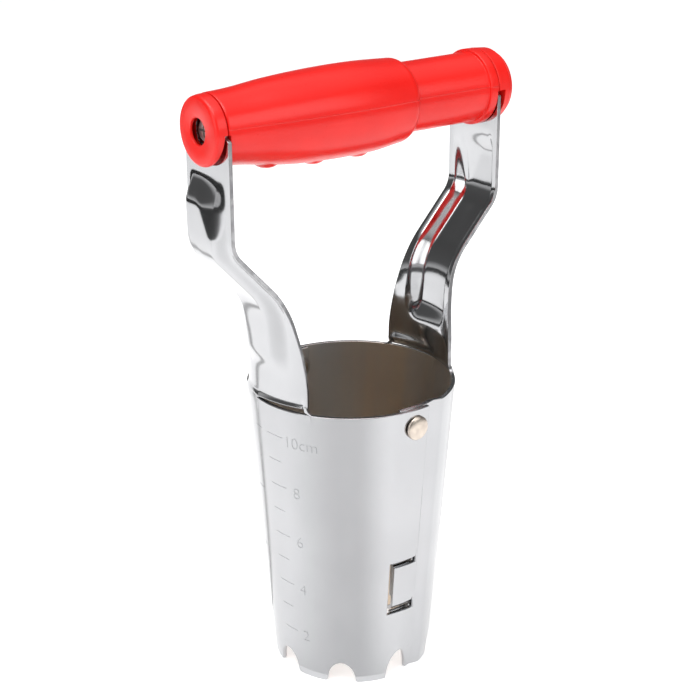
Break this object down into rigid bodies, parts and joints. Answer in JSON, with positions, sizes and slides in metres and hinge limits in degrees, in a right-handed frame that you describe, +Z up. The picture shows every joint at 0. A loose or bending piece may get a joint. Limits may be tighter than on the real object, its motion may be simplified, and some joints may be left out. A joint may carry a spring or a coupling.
{
  "type": "bulb planter",
  "caption": "Hand bulb planter: a toothed steel cone in two hinged halves on bent arms, opened by squeezing a sprung telescopic plastic handle.",
  "frame": {"origin": "under the middle of the whole object's box, on the plane of the tooth tips; the cone's axis stands 1.8 mm towards -X of it", "axes": "+Z up along the cone's axis, +X along the handle towards the inner sleeve's end, -Y towards the front rivet"},
  "size_m": [0.1247, 0.0782, 0.2236],
  "materials": {
    "plated_steel": "bright plated pressed steel",
    "rivet_metal": "warm nickel plate, softly polished",
    "zinc_steel": "bright zinc plate",
    "red_plastic": "glossy moulded plastic",
    "spring_steel": "drawn spring wire"
  },
  "bodies": {
    "left_half": {"left_cone_half": "plated_steel", "front_rivet": "rivet_metal", "back_rivet": "rivet_metal", "front_rivet_washer": "zinc_steel", "back_rivet_washer": "zinc_steel"},
    "right_half": {"right_cone_half": "plated_steel"},
    "grip": {"outer_grip": "red_plastic", "left_end_cap": "red_plastic", "left_cap_screw": "zinc_steel", "return_spring": "spring_steel"},
    "sleeve": {"inner_sleeve": "red_plastic", "right_end_cap": "red_plastic", "right_cap_screw": "zinc_steel"}
  },
  "joints": [
    {"name": "opening", "type": "hinge", "parent": "left_half", "child": "right_half", "pos_m": [-0.0018, 0, 0.1032], "axis": [0, -1, 0], "range_deg": [0, 13.6], "stiffness_Nm_per_rad": 19.7, "springref_deg": -5.04},
    {"name": "grip_tilt", "type": "hinge", "parent": "left_half", "child": "grip", "pos_m": [-0.0583, 0, 0.2086], "axis": [0, -1, 0], "range_deg": [0, 6.81]},
    {"name": "sleeve_slide", "type": "slide", "parent": "grip", "child": "sleeve", "axis": [-1, 0, 0], "range_m": [0, 0.0259], "deforming": ["return_spring"]}
  ],
  "couplings": [
    {"joint": "grip_tilt", "follows": "opening", "ratio": 0.5},
    {"joint": "sleeve_slide", "follows": "opening", "m_per_rad": 0.1086}
  ]
}
